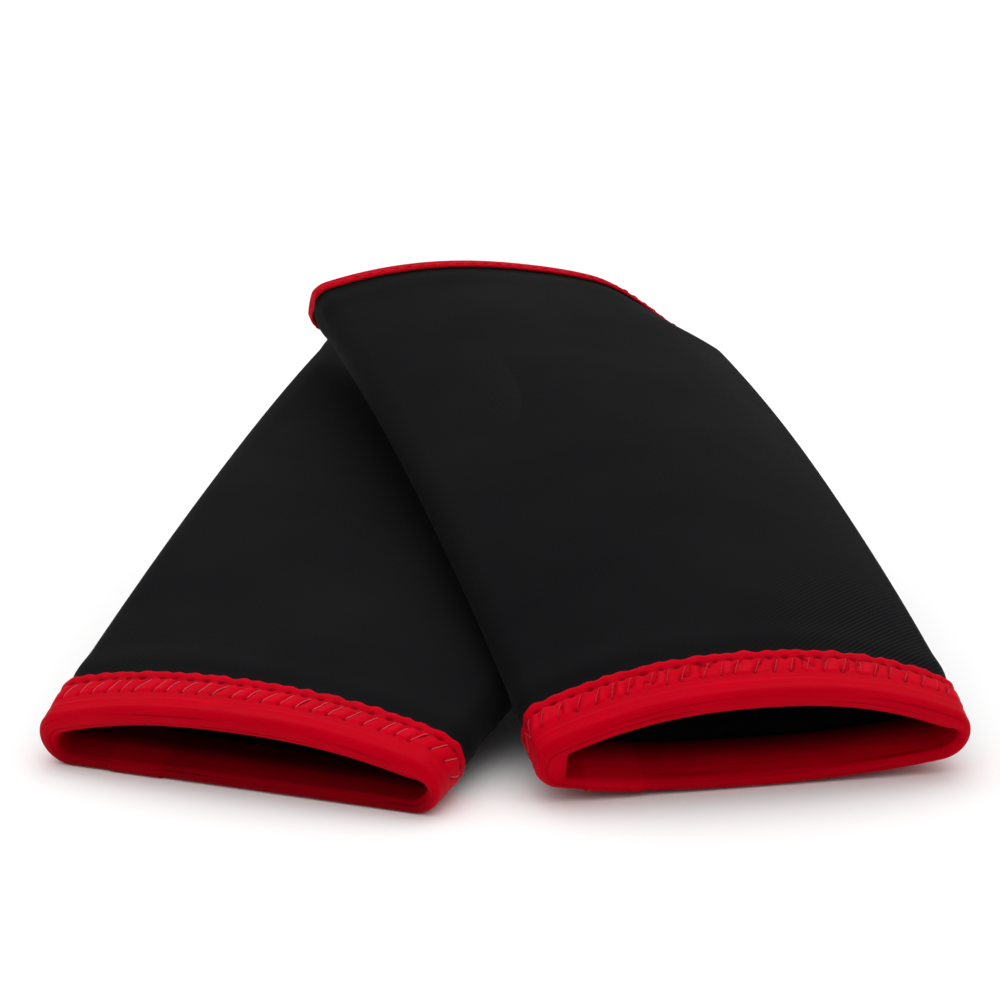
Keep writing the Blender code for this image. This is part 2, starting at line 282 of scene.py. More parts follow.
    def rings(self, s, count, depth, slide=0.0):
        """Grid of points: a row round the sleeve for each s, at the depths given.

        Columns run from the right fold's middle, over the crown, round the left fold and
        back along the belly.  slide moves points along the sleeve.
        """
        halves = [[self.half_ring(value, side, count // 2) for value in s] for side in (1, -1)]
        joined = [np.hstack([np.array([row[i] for row in half]) for half in halves])
                  for i in range(3)]
        x, z, angle = joined
        u = np.arange(count)[None, :] / count
        rows = np.asarray(s)[:, None]
        reach = FOLD_RADIUS - depth * self.give(rows, u)
        x = self.crease(rows, x + reach * np.cos(angle), depth)
        z = z + reach * np.sin(angle) - self.droop(rows, u)
        centre, right, up, ahead = (value[:, None, :] for value in self.frames(np.asarray(s)))
        points = centre + right * x[..., None] + up * z[..., None]
        return points + ahead * (np.zeros_like(depth) + slide)[..., None]

    def wall(self, s, across, side, depth):
        """Points on a broad wall; across runs from -1 to 1 between the folds."""
        squeeze = CROWN_SQUEEZE if side > 0 else BELLY_SQUEEZE
        depth = depth * (1.0 - squeeze * (1.0 - ramp(s, 0.0, MOUTH_REACH)))
        reach, rise = self.reach_and_rise(s, side)
        height = rise * (1.0 - np.abs(across) ** WALL_FULLNESS)
        slope = -np.sign(across) * WALL_FULLNESS * rise / reach
        slope = slope * np.abs(across) ** (WALL_FULLNESS - 1.0)
        size = np.hypot(slope, 1.0)
        x = reach * across - slope / size * (FOLD_RADIUS - depth)
        z = side * (height + (FOLD_RADIUS - depth) / size)
        centre, right, up, _ = self.frames(s)
        return centre + right * x[..., None] + up * z[..., None]


# ---- meshes ----
def clear_of_table(points):
    """Flatten what would reach below the surface that the pads lie on."""
    points[..., 2] = np.maximum(points[..., 2], TABLE_CLEARANCE)
    return points


def grid_object(name, points, surface, around=1.0, along=1.0, loops=(True, True), **fields):
    """Mesh through a grid of points, with a UV map in metres along both directions.

    Each field is a number per point, kept as an attribute for the material.
    """
    rows, columns = points.shape[:2]
    i, j = np.meshgrid(np.arange(rows if loops[0] else rows - 1),
                       np.arange(columns if loops[1] else columns - 1), indexing="ij")
    corners = [(i, j), (i + 1, j), (i + 1, j + 1), (i, j + 1)]
    faces = np.stack([(a % rows) * columns + b % columns for a, b in corners], axis=-1)
    uvs = np.stack([np.stack([b / columns * around, a / rows * along], axis=-1)
                    for a, b in corners], axis=2)
    faces = faces.reshape(-1, 4)
    uvs = uvs.reshape(-1, 4, 2)
    flat = points.reshape(-1, 3)
    if all(loops) and signed_volume(flat, faces) < 0.0:
        faces = faces[:, ::-1]
        uvs = uvs[:, ::-1]
    mesh = bpy.data.meshes.new(name)
    mesh.from_pydata(flat.tolist(), [], faces.tolist())
    layer = mesh.uv_layers.new(name="cloth")
    layer.data.foreach_set("uv", uvs.astype(np.float32).ravel())
    for key, numbers in fields.items():
        field = mesh.attributes.new(key, "FLOAT", "POINT")
        field.data.foreach_set("value", numbers.astype(np.float32).ravel())
    mesh.shade_smooth()
    mesh.materials.append(surface)
    made = bpy.data.objects.new(name, mesh)
    bpy.context.scene.collection.objects.link(made)
    return made


def signed_volume(points, faces):
    """Six times the volume inside, negative when the faces point inward."""
    a, b, c, d = (points[faces[:, i]] for i in range(4))
    return float(np.einsum("ij,ij->", a, np.cross(b, c)) + np.einsum("ij,ij->", a, np.cross(c, d)))


def tube(name, path, outward, radius, surface, closed, sides=8):
    """Round thread along a path; outward is any direction beside it at each point."""
    ahead = np.roll(path, -1, axis=0) - np.roll(path, 1, axis=0)
    if not closed:
        ahead[0], ahead[-1] = path[1] - path[0], path[-1] - path[-2]
    ahead /= np.linalg.norm(ahead, axis=1, keepdims=True)
    beside = np.cross(ahead, outward)
    beside /= np.linalg.norm(beside, axis=1, keepdims=True)
    above = np.cross(beside, ahead)
    angle = np.linspace(0.0, 2 * math.pi, sides, endpoint=False)
    thick = np.full(len(path), radius)
    if not closed:
        thick[[0, -1]] = radius * 0.05
    ring = (beside[:, None, :] * np.cos(angle)[None, :, None]
            + above[:, None, :] * np.sin(angle)[None, :, None])
    points = path[:, None, :] + ring * thick[:, None, None]
    length = float(np.linalg.norm(np.diff(path, axis=0), axis=1).sum())
    return grid_object(name, clear_of_table(points), surface, 2 * math.pi * radius, length,
                       (closed, True))


def fit(piece, side, node):
    """The piece moves with its pad and stands for its CAD node."""
    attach(piece, side + "_pad")
    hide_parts(f"{side}_{node}")
    return piece


# ---- the laminate ----
def face_relief(sleeve, s, u, count):
    """Height of the jersey's gentle waves, its swell past the bindings and its seam."""
    seed = 11 if sleeve.side == "top" else 12
    waves = WAVE_HEIGHT * wander(u, seed, 1, 6) * np.sin(s / LENGTH * 5.1 + seed)
    waves += RIPPLE_HEIGHT * wander(u, seed + 5, 3, 9) * np.cos(s / LENGTH * 9.0)
    past = np.minimum(s - BINDINGS["forearm"]["flange"],
                      LENGTH - s - BINDINGS["bicep"]["flange"])
    cover = ramp(past, 0.0, 6.0 * MM)
    swell = SWELL_HEIGHT * bell(past, 7.0 * MM, 5.0 * MM)
    seam = seam_place(sleeve, s, count)
    gutter = -SEAM_GUTTER * bell((u - seam) * sleeve.girth, 0.0, SEAM_GUTTER_WIDTH)
    return (waves + swell) * cover + gutter * ramp(past, -1.0 * MM, 1.0 * MM)


def seam_place(sleeve, s, count):
    """Share round the sleeve at which the closing seam runs, for each row of s."""
    places = []
    for value in s[:, 0]:
        x, _, _ = sleeve.half_ring(value, -1, count // 2)
        reach, _ = sleeve.reach_and_rise(value, -1)
        places.append(0.5 + 0.5 * np.interp(SEAM_POSITION, x / reach, np.linspace(0, 1, len(x))))
    return np.array(places)[:, None]


def rib_strength(sleeve, s, count):
    """How strongly the ribs and their painted shade show: most where the jersey is drawn tight near
    the mouth.
    """
    u = np.arange(count) / count
    drawn = bell(s[:, None], RIB_MIDDLE, RIB_REACH) * bell(u, RIB_PLACE[sleeve.side], 0.085)
    return RIB_BASE + RIB_STRENGTH[sleeve.side] * drawn


def laminate(name, sleeve, depths, count, outer_rows, inner_rows, surface, relief=None):
    """Closed shell between two depths, over the whole sleeve."""
    outer = np.linspace(0.0, LENGTH, outer_rows)
    inner = np.linspace(LENGTH, 0.0, inner_rows)
    s = np.concatenate([outer, inner])
    depth = np.concatenate([np.full(outer_rows, depths[0]), np.full(inner_rows, depths[1])])
    depth = np.repeat(depth[:, None], count, axis=1)
    if relief is not None:
        u = np.arange(count) / count + np.zeros((outer_rows, 1))
        depth[:outer_rows] -= relief(sleeve, outer[:, None] + np.zeros((1, count)), u, count)
    points = clear_of_table(sleeve.rings(s, count, depth))
    return grid_object(name, points, surface, around=sleeve.girth, along=2 * LENGTH,
                       ribbing=rib_strength(sleeve, s, count))


# ---- the binding ----
def tape_profile(end):
    """The folded tape's closed cross-section: distance, depth and how exposed it is.

    It runs from the inner edge over the roll to the outer edge, then back underneath.
    """
    flange, inner = BINDINGS[end]["flange"], BINDINGS[end]["inner"]
    half = TAPE_THICKNESS / 2
    turn = np.linspace(-math.pi / 2, math.pi / 2, 7)[1:-1]
    middle = (OUTER_FLANGE[0] + INNER_FLANGE[0]) / 2
    parts = []

    def add(s, depth, shown):
        parts.append(np.stack([s + 0 * depth, depth + 0 * s, shown + 0 * (s + depth)], axis=1))

    add(inner - half + half * np.cos(turn), INNER_FLANGE[0] - half + half * np.sin(turn), 0.5)
    add(np.linspace(inner - half, -ROLL_START, 20)[:-1], INNER_FLANGE[0], 1.0)
    sweep = np.linspace(0.0, math.pi, 44)
    add(-ROLL_START - ROLL_REACH[0] * np.sin(sweep),
        middle + (INNER_FLANGE[0] - middle) * np.cos(sweep), 1.0)
    add(np.linspace(-ROLL_START, flange - half, 60)[1:], OUTER_FLANGE[0], 1.0)
    add(flange - half + half * np.cos(turn), OUTER_FLANGE[0] + half + half * np.sin(turn), 0.5)
    add(np.linspace(flange - half, -ROLL_START, 6)[:-1], OUTER_FLANGE[1], 0.0)
    sweep = np.linspace(math.pi, 0.0, 12)
    add(-ROLL_START - ROLL_REACH[1] * np.sin(sweep),
        middle + (INNER_FLANGE[1] - middle) * np.cos(sweep), 0.0)
    add(np.linspace(-ROLL_START, inner - half, 5)[1:], INNER_FLANGE[1], 0.0)
    return np.concatenate(parts).T


def stitch_phase(u, count, seed):
    """Stitch number round the edge, with the uneven spacing of hand-fed tape."""
    return (u * count + 0.10 * wander(u, seed, 9, 14)) % count


def tape_relief(u, s, side, end, count, seed):
    """Height of the outer flange's surface over a smooth tape."""
    trim = BINDINGS[end]
    rng = np.random.default_rng(seed)
    swells = rng.uniform(0.60, 1.10, count)
    phase = stitch_phase(u, count, seed)
    climb = (s - trim["low"]) / (trim["high"] - trim["low"])
    uneven = BLOCKY[side] * 0.15 * wander(u, seed + 1, 30, 30)
    slanted = (phase + 0.5 * climb + uneven) % count
    inside = slanted - np.floor(slanted)
    swell = swells[np.floor(slanted).astype(int) % count]
    row = ramp(climb, -0.20, 0.1) * (1.0 - ramp(climb, 0.85, 1.1))
    pillows = PILLOW_HEIGHT * row * (swell * np.sin(math.pi * inside) ** 0.5 - 0.40)
    groove = -GROOVE_DEPTH * bell(climb, 1.05, 0.12) * (1.0 + 0.4 * wander(u, seed + 2, 20, 20))
    hole = np.abs((phase + 0.5) % 1.0 - 0.5) * STITCH_PITCH
    dimples = -DIMPLE_DEPTH * bell(hole, 0.0, 0.8 * MM) * bell(climb, 1.0, 0.16)
    hole = np.abs(phase % 1.0 - 0.5) * STITCH_PITCH
    nicks = -0.7 * DIMPLE_DEPTH * bell(hole, 0.5 * STITCH_PITCH, 0.5 * MM) * bell(climb, -0.02, 0.12)
    lip = bell(s, trim["flange"] - 1.0 * MM, 0.8 * MM) * (1.0 + 0.4 * wander(u, seed + 3, 25, 40))
    ridge = bell(s, RIDGE_PLACE, 0.6 * MM) * (0.7 + 0.5 * wander(u, seed + 4, 2, 8))
    edges = LIP_HEIGHT * lip + RIDGE_HEIGHT * ridge
    return trim["pucker"] * (pillows + groove + dimples + nicks + edges)


def roll_wrinkles(u, travel, seed):
    """Fine stretch lines along the roll; travel is the distance over the tape."""
    rng = np.random.default_rng(seed + 40)
    total = np.zeros_like(u)
    for i in range(WRINKLES):
        line = rng.uniform(0.0, 12.0) * MM + 0.5 * MM * wander(u, seed + 50 + i, 1, 4)
        strength = np.clip(0.3 + 0.9 * wander(u, seed + 70 + i, 1, 5), 0.0, 1.0)
        total -= WRINKLE_DEPTH * strength * bell(travel, line, WRINKLE_WIDTH)
    return total


def profile_normals(s, depth):
    """Directions (along, deeper) that point out of the closed cross-section."""
    step = np.stack([np.roll(s, -1) - np.roll(s, 1), np.roll(depth, -1) - np.roll(depth, 1)])
    step /= np.linalg.norm(step, axis=0)
    normal = np.stack([-step[1], step[0]])
    return -normal if normal[1][np.argmin(depth)] > 0 else normal


def painted_tape_shade(sleeve, s, depth, shown, u):
    """Painted shade for each point of the tape: inside the mouth, and on the belly's roll."""
    deep = ramp(depth, 4.0 * MM, 6.5 * MM) * ramp(s, *PAINTED_INSIDE_SHADE[sleeve.side])
    roll = ramp(depth, -1.2 * MM, 2.0 * MM) * (shown > 0.9)
    return np.maximum(deep[:, None], PAINTED_UNDER_SHADE[sleeve.side] * under(u) * roll[:, None])


def scalloped_edge(end, s, depth, u, count, seed):
    """How far the outer flange's edge is drawn in and out by the stitch."""
    phase = stitch_phase(u, count, seed)
    scallop = 0.6 * np.cos(2 * math.pi * phase) + 0.6 * wander(u, seed + 6, 15, 30)
    flange = BINDINGS[end]["flange"]
    edge = ramp(s, flange - 2.5 * MM, flange - 0.5 * MM) * (depth < 0.0)
    return SCALLOP * BINDINGS[end]["pucker"] * edge[:, None] * scallop


def binding(name, sleeve, end, seed, surface):
    """Folded tape round one raw end, puckered by its zigzag stitch."""
    s, depth, shown = tape_profile(end)
    count = stitch_count(sleeve, end)
    u = np.arange(ROUND_TAPE) / ROUND_TAPE + np.zeros((len(s), 1))
    travel = np.concatenate([[0.0], np.cumsum(np.hypot(np.diff(s), np.diff(depth)))])
    outer = (depth < 0.0) & (shown > 0.4)
    start = travel[np.argmax(outer)]
    relief = tape_relief(u, s[:, None] + 0 * u, sleeve.side, end, count, seed) * outer[:, None]
    relief += roll_wrinkles(u, start - travel[:, None], seed) * (shown > 0.9)[:, None]
    relief += overlap_step(sleeve, u) * (shown > 0.4)[:, None]
    # painted shade, carried by the attribute 'inside' into the tape's colour
    dark = painted_tape_shade(sleeve, s, depth, shown, u)
    normal = profile_normals(s, depth)
    slide = normal[0][:, None] * relief + scalloped_edge(end, s, depth, u, count, seed)
    depth = depth[:, None] + normal[1][:, None] * relief
    along, slide = (LENGTH - s, -slide) if end == "bicep" else (s, slide)
    points = sleeve.rings(along, ROUND_TAPE, depth, slide)
    return grid_object(name, clear_of_table(points), surface, around=sleeve.girth_at(end),
                       along=float(travel[-1]), relief=relief / MM, inside=dark)


def overlap_step(sleeve, u):
    """Extra thickness where the tape's end laps over its start, at the closing seam."""
    middle = OVERLAP_PLACE[sleeve.side]
    half = 0.5 * OVERLAP_LENGTH / sleeve.girth
    edge = 0.3 * MM / sleeve.girth
    return OVERLAP_HEIGHT * (ramp(u, middle - half - edge, middle - half + edge)
                             - ramp(u, middle + half - edge, middle + half + edge))


def stitch_count(sleeve, end):
    """Whole stitches that fit round one end."""
    return round(sleeve.girth_at(end) / STITCH_PITCH)


def binding_stitches(name, sleeve, end, seed, surface):
    """The zigzag thread: each stitch lies on the tape and dives in at both needle holes."""
    count = stitch_count(sleeve, end)
    total = count * 24
    u = np.arange(total) / total
    inside = stitch_phase(u, count, seed) % 1.0
    rising = inside < 0.5
    leg = np.where(rising, inside * 2.0, 2.0 - inside * 2.0)
    low, high = BINDINGS[end]["low"], BINDINGS[end]["high"]
    height = np.sin(math.pi * leg) ** 0.5
    lift = np.where(rising, -0.35, 0.22) * MM * height - 0.30 * MM * (1.0 - height)
    relief = tape_relief(u, low + (high - low) * leg, sleeve.side, end, count, seed)
    depth = OUTER_FLANGE[0] - relief - lift
    ends = []
    for row in (low, high):
        along = LENGTH - row if end == "bicep" else row
        ends.append(sleeve.rings([along], total, depth[None, :])[0])
    share = leg[:, None]
    path = ends[0] * (1.0 - share) + ends[1] * share
    outward = path - sleeve.frames(np.full(total, LENGTH if end == "bicep" else 0.0))[0]
    return tube(name, path, outward, THREAD_RADIUS, surface, True)


# ---- seam and cushion ----
def between_flanges(kind, clearance):
    """Distances at which the open stretch between the two bindings starts and ends."""
    start = BINDINGS["forearm"][kind] + clearance
    return start, LENGTH - BINDINGS["bicep"][kind] - clearance


def seam_stitches(name, sleeve, surface):
    """Zigzag thread over the closing seam on the belly."""
    start, end = between_flanges("flange", 0.6 * MM)
    steps = round((end - start) / SEAM_STEP)
    t = np.linspace(0.0, steps, steps * 10 + 1)
    s = start + (end - start) * t / steps
    reach, _ = sleeve.reach_and_rise(s, -1)
    swing = 2.0 * np.abs(t % 2.0 - 1.0) - 1.0
    across = SEAM_POSITION + swing * SEAM_HALF_WIDTH / reach
    dive = np.abs((t + 0.5) % 1.0 - 0.5) * 2.0
    depth = (0.20 - 0.45 * dive ** 0.5) * MM
    path = sleeve.wall(s, across, -1, depth)
    outward = path - sleeve.frames(s)[0]
    return tube(name, path, outward, THREAD_RADIUS * 1.3, surface, False)


def strip(name, sleeve, surface):
    """Flat tape over the seam inside, a closed band with rounded edges."""
    rows, across_steps = 90, 24
    s = np.linspace(*between_flanges("inner", 0.9 * MM), rows)[:, None]
    reach, _ = sleeve.reach_and_rise(s, -1)
    angle = np.linspace(0.0, 2 * math.pi, across_steps, endpoint=False)[None, :]
    wide = np.sign(np.cos(angle)) * np.abs(np.cos(angle)) ** 0.6
    across = SEAM_POSITION + SEAM_TAPE_HALF_WIDTH * wide / reach
    thick = 0.2 * MM * np.sign(np.sin(angle)) * np.abs(np.sin(angle)) ** 0.4
    ends = np.ones((rows, 1))
    ends[[0, -1]] = 0.1
    depth = LINING[1] + 0.5 * MM + thick * ends
    points = sleeve.wall(s + 0 * angle, across, -1, depth)
    return grid_object(name, points, surface, 2 * SEAM_TAPE_HALF_WIDTH, LENGTH, (False, True))


def dome(name, sleeve, spread, near, far, surface, rows=26, spokes=96):
    """Closed oval patch under the crown; near and far give its two depths by radius."""
    turn = np.linspace(0.0, 2 * math.pi, spokes, endpoint=False)[None, :]
    out = np.sin(np.linspace(0.02, math.pi / 2, rows))
    radius = np.concatenate([out, out[::-1]])[:, None]
    depth = np.concatenate([near(out), far(out[::-1])])[:, None] + 0 * turn
    s = LENGTH * CUSHION_MIDDLE + CUSHION_HALF[1] * spread * radius * np.sin(turn)
    reach, _ = sleeve.reach_and_rise(s, 1)
    across = CUSHION_HALF[0] * spread * radius * np.cos(turn) / reach
    points = sleeve.wall(s, across, 1, depth)
    return grid_object(name, points, surface, 0.2, 0.1, (False, True))


def cushion_share(radius):
    """Cushion thickness at a share of its radius, 1 in the middle."""
    return 1.0 - 0.8 * np.minimum(radius, 1.0) ** 3


def cushion(name, sleeve, surface):
    """Domed foam cushion over the point of the elbow, puffed up by a cloth simulation."""
    top = LINING[1] + CUSHION_GAP
    thickness = CUSHION_THICKNESS - 2.25 * CUSHION_SLACK
    made = dome(name, sleeve, CUSHION_TRIM, lambda r: top + CUSHION_SLACK + 0 * r,
                lambda r: top + CUSHION_SLACK + thickness * cushion_share(r), surface)
    close_poles(made)
    puff(made)
    return made


def pocket(name, sleeve, surface):
    """Lining patch over the cushion, sewn down round its edge."""
    top = LINING[1] + CUSHION_GAP

    def lower(r):
        rise = ramp(r * POCKET_SPREAD, 1.06, 0.90)
        bulge = CUSHION_THICKNESS * cushion_share(r * POCKET_SPREAD) + POCKET_CLEARANCE
        ditch = -0.25 * MM * bell(r, 0.94, 0.012)
        return top + rise * bulge + ditch

    made = dome(name, sleeve, POCKET_SPREAD, lower, lambda r: lower(r) + POCKET_THICKNESS,
                surface, rows=48)
    close_poles(made)
    return made


def close_poles(made):
    """Fan caps over the two small holes in the middle of a dome."""
    work = bmesh.new()
    work.from_mesh(made.data)
    rim = [edge for edge in work.edges if edge.is_boundary]
    bmesh.ops.holes_fill(work, edges=rim, sides=0)
    bmesh.ops.recalc_face_normals(work, faces=work.faces)
    work.to_mesh(made.data)
    work.free()
    made.data.shade_smooth()


def apply_modifiers(made):
    """Put the evaluated mesh in the object, and drop its modifiers."""
    graph = bpy.context.evaluated_depsgraph_get()
    mesh = bpy.data.meshes.new_from_object(made.evaluated_get(graph))
    made.modifiers.clear()
    made.data = mesh


def puff(made):
    """Swell a closed mesh under its own pressure, no point further than the limit."""
    remesh = made.modifiers.new("Even", "REMESH")
    remesh.mode = "VOXEL"
    remesh.voxel_size = PUFF_VOXEL
    apply_modifiers(made)
    rest = np.array([v.co for v in made.data.vertices])
    cloth = made.modifiers.new("Puff", "CLOTH")
    cloth.settings.use_pressure = True
    cloth.settings.uniform_pressure_force = PUFF_PRESSURE
    cloth.settings.effector_weights.gravity = 0.0
    cloth.point_cache.frame_start = 1
    cloth.point_cache.frame_end = PUFF_FRAMES
    scene = bpy.context.scene
    for step in range(1, PUFF_FRAMES + 1):
        scene.frame_set(step)
    apply_modifiers(made)
    moved = np.array([v.co for v in made.data.vertices]) - rest
    size = np.linalg.norm(moved, axis=1, keepdims=True)
    moved *= np.minimum(1.0, PUFF_LIMIT / np.maximum(size, 1e-9))
    made.data.vertices.foreach_set("co", (rest + moved).astype(np.float32).ravel())
    scene.frame_set(1)
    smooth = made.modifiers.new("Smooth", "SUBSURF")
    smooth.levels = smooth.render_levels = 1
    apply_modifiers(made)
    made.data.shade_smooth()


# ---- materials ----
class Finish:
    """A Principled surface that nodes can be hung on."""

    def __init__(self, name, roughness, **sockets):
        self.material = bpy.data.materials.new(name)
        self.material.use_nodes = True
        self.tree = self.material.node_tree
        self.shader = self.tree.nodes["Principled BSDF"]
        self.shader.inputs["Roughness"].default_value = roughness
        for key, value in sockets.items():
            self.shader.inputs[key.replace("_", " ")].default_value = value
        self.cloth = self.node("ShaderNodeUVMap")
        self.cloth.uv_map = "cloth"

    def node(self, kind, **inputs):
        """New node with its inputs set or linked."""
        made = self.tree.nodes.new(kind)
        for key, value in inputs.items():
            self.put(made.inputs[key.replace("_", " ")], value)
        return made

    def put(self, socket, value):
        """Link another node's output, or set a plain value."""
        if isinstance(value, bpy.types.NodeSocket):
            self.tree.links.new(value, socket)
        else:
            socket.default_value = value

    def maths(self, operation, *values):
        made = self.tree.nodes.new("ShaderNodeMath")
        made.operation = operation
        for socket, value in zip(made.inputs, values):
            self.put(socket, value)
        return made.outputs[0]

    def stretched(self, around, along):
        """The cloth's own coordinates, scaled to features of those sizes in metres."""
        scaled = self.node("ShaderNodeVectorMath")
        scaled.operation = "MULTIPLY"
        self.put(scaled.inputs[0], self.cloth.outputs[0])
        scaled.inputs[1].default_value = (1.0 / around, 1.0 / along, 1.0)
        return scaled.outputs[0]

    def attribute(self, name):
        """A field that the mesh carries for each point."""
        made = self.tree.nodes.new("ShaderNodeAttribute")
        made.attribute_name = name
        return made.outputs["Fac"]

    def noise(self, vector, detail=3.0, roughness=0.55):
        made = self.node("ShaderNodeTexNoise", Vector=vector, Scale=1.0, Detail=detail,
                         Roughness=roughness)
        return made.outputs["Fac"]

    def spread(self, value, low, high, to_low=0.0, to_high=1.0):
        """Rescale a value from one range to another, clamped."""
        made = self.node("ShaderNodeMapRange", Value=value)
        for key, number in (("From Min", low), ("From Max", high),
                            ("To Min", to_low), ("To Max", to_high)):
            made.inputs[key].default_value = number
        return made.outputs[0]

    def blend(self, share, first, second):
        """Mix two colours, each a tuple or another node's output."""
        made = self.tree.nodes.new("ShaderNodeMix")
        made.data_type = "RGBA"
        self.put(made.inputs[0], share)
        for index, colour in ((6, first), (7, second)):
            self.put(made.inputs[index], colour if hasattr(colour, "links") else (*colour, 1.0))
        return made.outputs[2]

    def bumps(self, *layers):
        """Chain of bumps, each a height and the distance that a height of 1 stands for."""
        normal = None
        for height, distance in layers:
            made = self.node("ShaderNodeBump", Height=height)
            made.inputs["Distance"].default_value = distance
            if normal is not None:
                self.put(made.inputs["Normal"], normal)
            normal = made.outputs[0]
        self.put(self.shader.inputs["Normal"], normal)

    def colour(self, socket):
        self.put(self.shader.inputs["Base Color"], socket)

    def roughness(self, socket):
        self.put(self.shader.inputs["Roughness"], socket)


def ribs(finish, girth, pitch, lean):
    """Height of fine diagonal ribs that meet up round the sleeve."""
    whole = round(girth * math.sin(lean) / pitch)
    across = 2 * math.pi * whole / girth
    along = 2 * math.pi * math.cos(lean) / pitch
    split = finish.node("ShaderNodeSeparateXYZ", Vector=finish.cloth.outputs[0])
    first = finish.maths("MULTIPLY", split.outputs[0], across)
    phase = finish.maths("MULTIPLY_ADD", split.outputs[1], along, first)
    return finish.maths("SINE", phase)


def jersey(side, girth):
    """Black nylon jersey: diagonal ribs with painted shade in their valleys, a fine knit, faint wear
    and a speck of lint.
    """
    made = Finish(side + "_black_jersey", 0.80, Sheen_Weight=0.015, Sheen_Roughness=0.5,
                  Specular_IOR_Level=0.06)
    broad = made.noise(made.stretched(0.045, 0.060), 2.0)
    fine = made.noise(made.stretched(0.0007, 0.0007), 2.0)
    rib = made.maths("MULTIPLY", ribs(made, girth, RIB_PITCH, RIB_LEAN),
                     made.attribute("ribbing"))
    tint = made.blend(made.spread(broad, 0.35, 0.65), (0.0050, 0.0051, 0.0063),
                      (0.0072, 0.0072, 0.0086))
    grain = made.blend(made.spread(fine, 0.3, 0.7), (0.0038, 0.0038, 0.0048), tint)
    # painted shade: the colour goes nearly black in the ribs' valleys, on top of their bump
    rib_valley_painted_shade = made.blend(made.spread(rib, -0.5, 0.5, 0.92, 0.0), grain, (0.0004, 0.0004, 0.0006))
    lint = made.node("ShaderNodeTexVoronoi", Vector=made.stretched(0.033, 0.033), Scale=1.0)
    speck = made.spread(lint.outputs["Distance"], 0.009, 0.006)
    made.colour(made.blend(speck, rib_valley_painted_shade, (0.10, 0.10, 0.11)))
    made.roughness(made.spread(broad, 0.3, 0.7, 0.74, 0.88))
    made.bumps((rib, 0.16 * MM), (fine, 0.08 * MM))
    return made.material


def lining_cloth():
    """Black looped lining: soft, with a close knit."""
    made = Finish("black_lining", 0.9, Sheen_Weight=0.02, Specular_IOR_Level=0.06)
    knit = made.node("ShaderNodeTexVoronoi", Vector=made.stretched(0.0011, 0.0009), Scale=1.0)
    broad = made.noise(made.stretched(0.03, 0.03))
    made.colour(made.blend(made.spread(broad, 0.3, 0.7), (0.0030, 0.0030, 0.0034),
                           (0.0060, 0.0060, 0.0068)))
    made.roughness(made.spread(broad, 0.3, 0.7, 0.85, 0.95))
    made.bumps((knit.outputs["Distance"], 0.25 * MM))
    return made.material


def foam(name, dark, light):
    """Closed-cell foam: fine cells and a slightly mottled skin."""
    made = Finish(name, 0.92, Specular_IOR_Level=0.25)
    cells = made.node("ShaderNodeTexVoronoi", Vector=made.stretched(0.0008, 0.0008), Scale=1.0)
    mottle = made.noise(made.stretched(0.012, 0.012))
    made.colour(made.blend(made.spread(mottle, 0.3, 0.7), dark, light))
    made.roughness(made.spread(mottle, 0.3, 0.7, 0.86, 0.97))
    made.bumps((cells.outputs["Distance"], 0.2 * MM))
    return made.material


def red_tape():
    """Red stretch tape: fine lengthwise knit, painted shade in its dimples and inside the mouths,
    worn on its ridges.
    """
    made = Finish("red_stretch_tape", 0.62, Sheen_Weight=0.02, Sheen_Roughness=0.35,
                  Sheen_Tint=(1.0, 0.10, 0.14, 1.0), Specular_IOR_Level=0.05,
                  Specular_Tint=(1.0, 0.08, 0.14, 1.0))
    height = made.attribute("relief")
    lines = made.noise(made.stretched(0.014, 0.00045), 3.0, 0.6)
    knit = made.noise(made.stretched(0.0006, 0.0006), 2.0)
    broad = made.noise(made.stretched(0.020, 0.008), 2.0)
    base = made.blend(made.spread(broad, 0.3, 0.7), (0.53, 0.0, 0.009), (0.61, 0.0, 0.012))
    lined = made.blend(made.spread(lines, 0.32, 0.60, 0.30, 0.0), base, (0.26, 0.0, 0.004))
    # painted shade: darker where the stitch relief is sunk, in the dimples and grooves
    painted_dimple_shade = made.blend(made.spread(height, 0.05, -0.45, 0.0, 0.80), lined, (0.17, 0.0, 0.003))
    worn = made.blend(made.spread(height, 0.25, 0.75, 0.0, 0.30), painted_dimple_shade, (0.74, 0.008, 0.026))
    # painted shade: the 'inside' attribute darkens the tape nearly to black inside the mouth and on
    # the belly's roll
    made.colour(made.blend(made.maths("MULTIPLY", made.attribute("inside"), 0.94), worn,
                           (0.012, 0.0, 0.001)))
    made.roughness(made.spread(broad, 0.3, 0.7, 0.55, 0.70))
    made.bumps((lines, 0.10 * MM), (knit, 0.06 * MM))
    return made.material


def thread(name, colour, shade, roughness):
    """Twisted sewing thread."""
    made = Finish(name, roughness, Sheen_Weight=0.06, Sheen_Roughness=0.3,
                  Specular_IOR_Level=0.25)
    split = made.node("ShaderNodeSeparateXYZ", Vector=made.cloth.outputs[0])
    first = made.maths("MULTIPLY", split.outputs[0], 2 * math.pi * 2 / (2 * math.pi * THREAD_RADIUS))
    twist = made.maths("SINE", made.maths("MULTIPLY_ADD", split.outputs[1], 2 * math.pi / 0.0007,
                                          first))
    made.colour(made.blend(made.spread(twist, -1.0, 1.0), shade, colour))
    made.roughness(made.spread(twist, -1.0, 1.0, roughness + 0.1, roughness))
    made.bumps((twist, 0.03 * MM))
    return made.material


